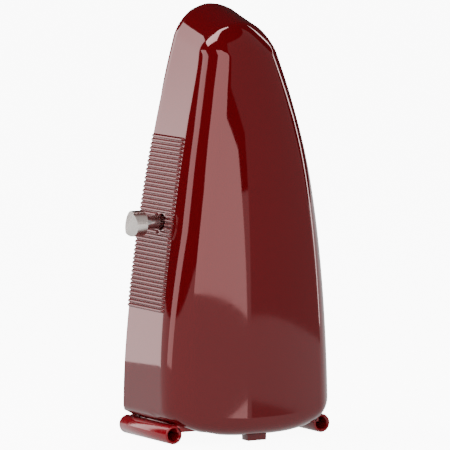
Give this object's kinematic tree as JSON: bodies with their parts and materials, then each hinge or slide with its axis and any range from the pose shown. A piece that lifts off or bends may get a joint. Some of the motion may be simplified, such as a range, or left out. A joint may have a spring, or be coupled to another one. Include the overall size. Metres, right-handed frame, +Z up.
{
  "type": "metronome",
  "caption": "Small wind-up metronome with a glossy ruby tapering case, tubular feet, side key, swinging rod and gear train.",
  "frame": {"origin": "middle of the footprint on the table, halfway across the case and the two foot tubes at Z = 0", "axes": "+Z up, +X the winding-key side, -Y the front where the pendulum swings, +Y the crowned back"},
  "size_m": [0.0781, 0.0482, 0.16],
  "materials": {
    "ruby_plastic": "high gloss, deep ruby",
    "base_plastic": "gloss, ruby",
    "dial_plastic": "satin, dark red",
    "knob_metal": "satin turned",
    "arbor_steel": "bright turned steel",
    "screw_steel": "zinc plated",
    "plate_brass": "satin rolled sheet",
    "wheel_brass": "cut and deburred",
    "bush_brass": "turned",
    "spring_steel": "blued strip",
    "rod_steel": "bright rolled strip",
    "weight_zinc": "die-cast, dull",
    "tempo_metal": "satin plated",
    "latch_plastic": "satin black"
  },
  "bodies": {
    "case": {"case_shell": "ruby_plastic", "base_plate": "base_plastic", "dial_panel": "dial_plastic", "panel_screws": "screw_steel", "movement_plate_right": "plate_brass", "movement_plate_left": "plate_brass", "frame_pillars": "arbor_steel", "frame_screws": "screw_steel", "movement_screws": "screw_steel", "arbor_bushes": "bush_brass", "staff_bush": "bush_brass", "staff_bridge": "plate_brass", "escape_bridge": "plate_brass", "click_screw": "screw_steel", "click_spring": "spring_steel", "latch_pin": "screw_steel"},
    "winding": {"winding_arbor": "arbor_steel", "winding_knob": "knob_metal", "ratchet_wheel": "arbor_steel"},
    "barrel": {"great_wheel": "wheel_brass", "barrel_drum": "wheel_brass", "barrel_cover": "wheel_brass", "mainspring": "spring_steel"},
    "intermediate": {"intermediate_arbor": "arbor_steel", "intermediate_pinion": "arbor_steel", "intermediate_wheel": "wheel_brass"},
    "escape": {"escape_arbor": "arbor_steel", "escape_pinion": "arbor_steel", "crown_wheel": "wheel_brass"},
    "click_lever": {"click": "arbor_steel"},
    "pendulum": {"pendulum_staff": "arbor_steel", "pallets": "arbor_steel", "pendulum_hub": "bush_brass", "pendulum_rod": "rod_steel", "counterweight_arm": "rod_steel", "counterweight": "weight_zinc", "counterweight_rivet": "arbor_steel"},
    "tempo": {"tempo_weight": "tempo_metal", "tempo_spring": "spring_steel"},
    "latch": {"rod_latch": "latch_plastic"}
  },
  "joints": [
    {"name": "pendulum_swing", "type": "hinge", "parent": "case", "child": "pendulum", "pos_m": [0, 0, 0.056], "axis": [0, 1, 0], "range_deg": [-22, 22]},
    {"name": "tempo_slide", "type": "slide", "parent": "pendulum", "child": "tempo", "axis": [0, 0, 1], "range_m": [-0.04, 0.02]},
    {"name": "key_winding", "type": "hinge", "parent": "case", "child": "winding", "pos_m": [0, 0.0042, 0.081], "axis": [1, 0, 0], "continuous": true},
    {"name": "barrel_turn", "type": "hinge", "parent": "case", "child": "barrel", "pos_m": [0, 0.0042, 0.081], "axis": [1, 0, 0], "continuous": true},
    {"name": "intermediate_turn", "type": "hinge", "parent": "case", "child": "intermediate", "pos_m": [0, 0.0093, 0.0685], "axis": [1, 0, 0], "continuous": true},
    {"name": "escape_turn", "type": "hinge", "parent": "case", "child": "escape", "pos_m": [0, 0.0042, 0.056], "axis": [1, 0, 0], "continuous": true},
    {"name": "click_lift", "type": "hinge", "parent": "case", "child": "click_lever", "pos_m": [0, 0.0145, 0.076], "axis": [1, 0, 0], "range_deg": [-6, 0]},
    {"name": "latch_fold", "type": "hinge", "parent": "case", "child": "latch", "pos_m": [0, -0.0165, 0.144], "axis": [1, 0, 0], "range_deg": [0, 180]}
  ],
  "couplings": [
    {"joint": "intermediate_turn", "follows": "barrel_turn", "ratio": -2},
    {"joint": "escape_turn", "follows": "barrel_turn", "ratio": 7}
  ]
}
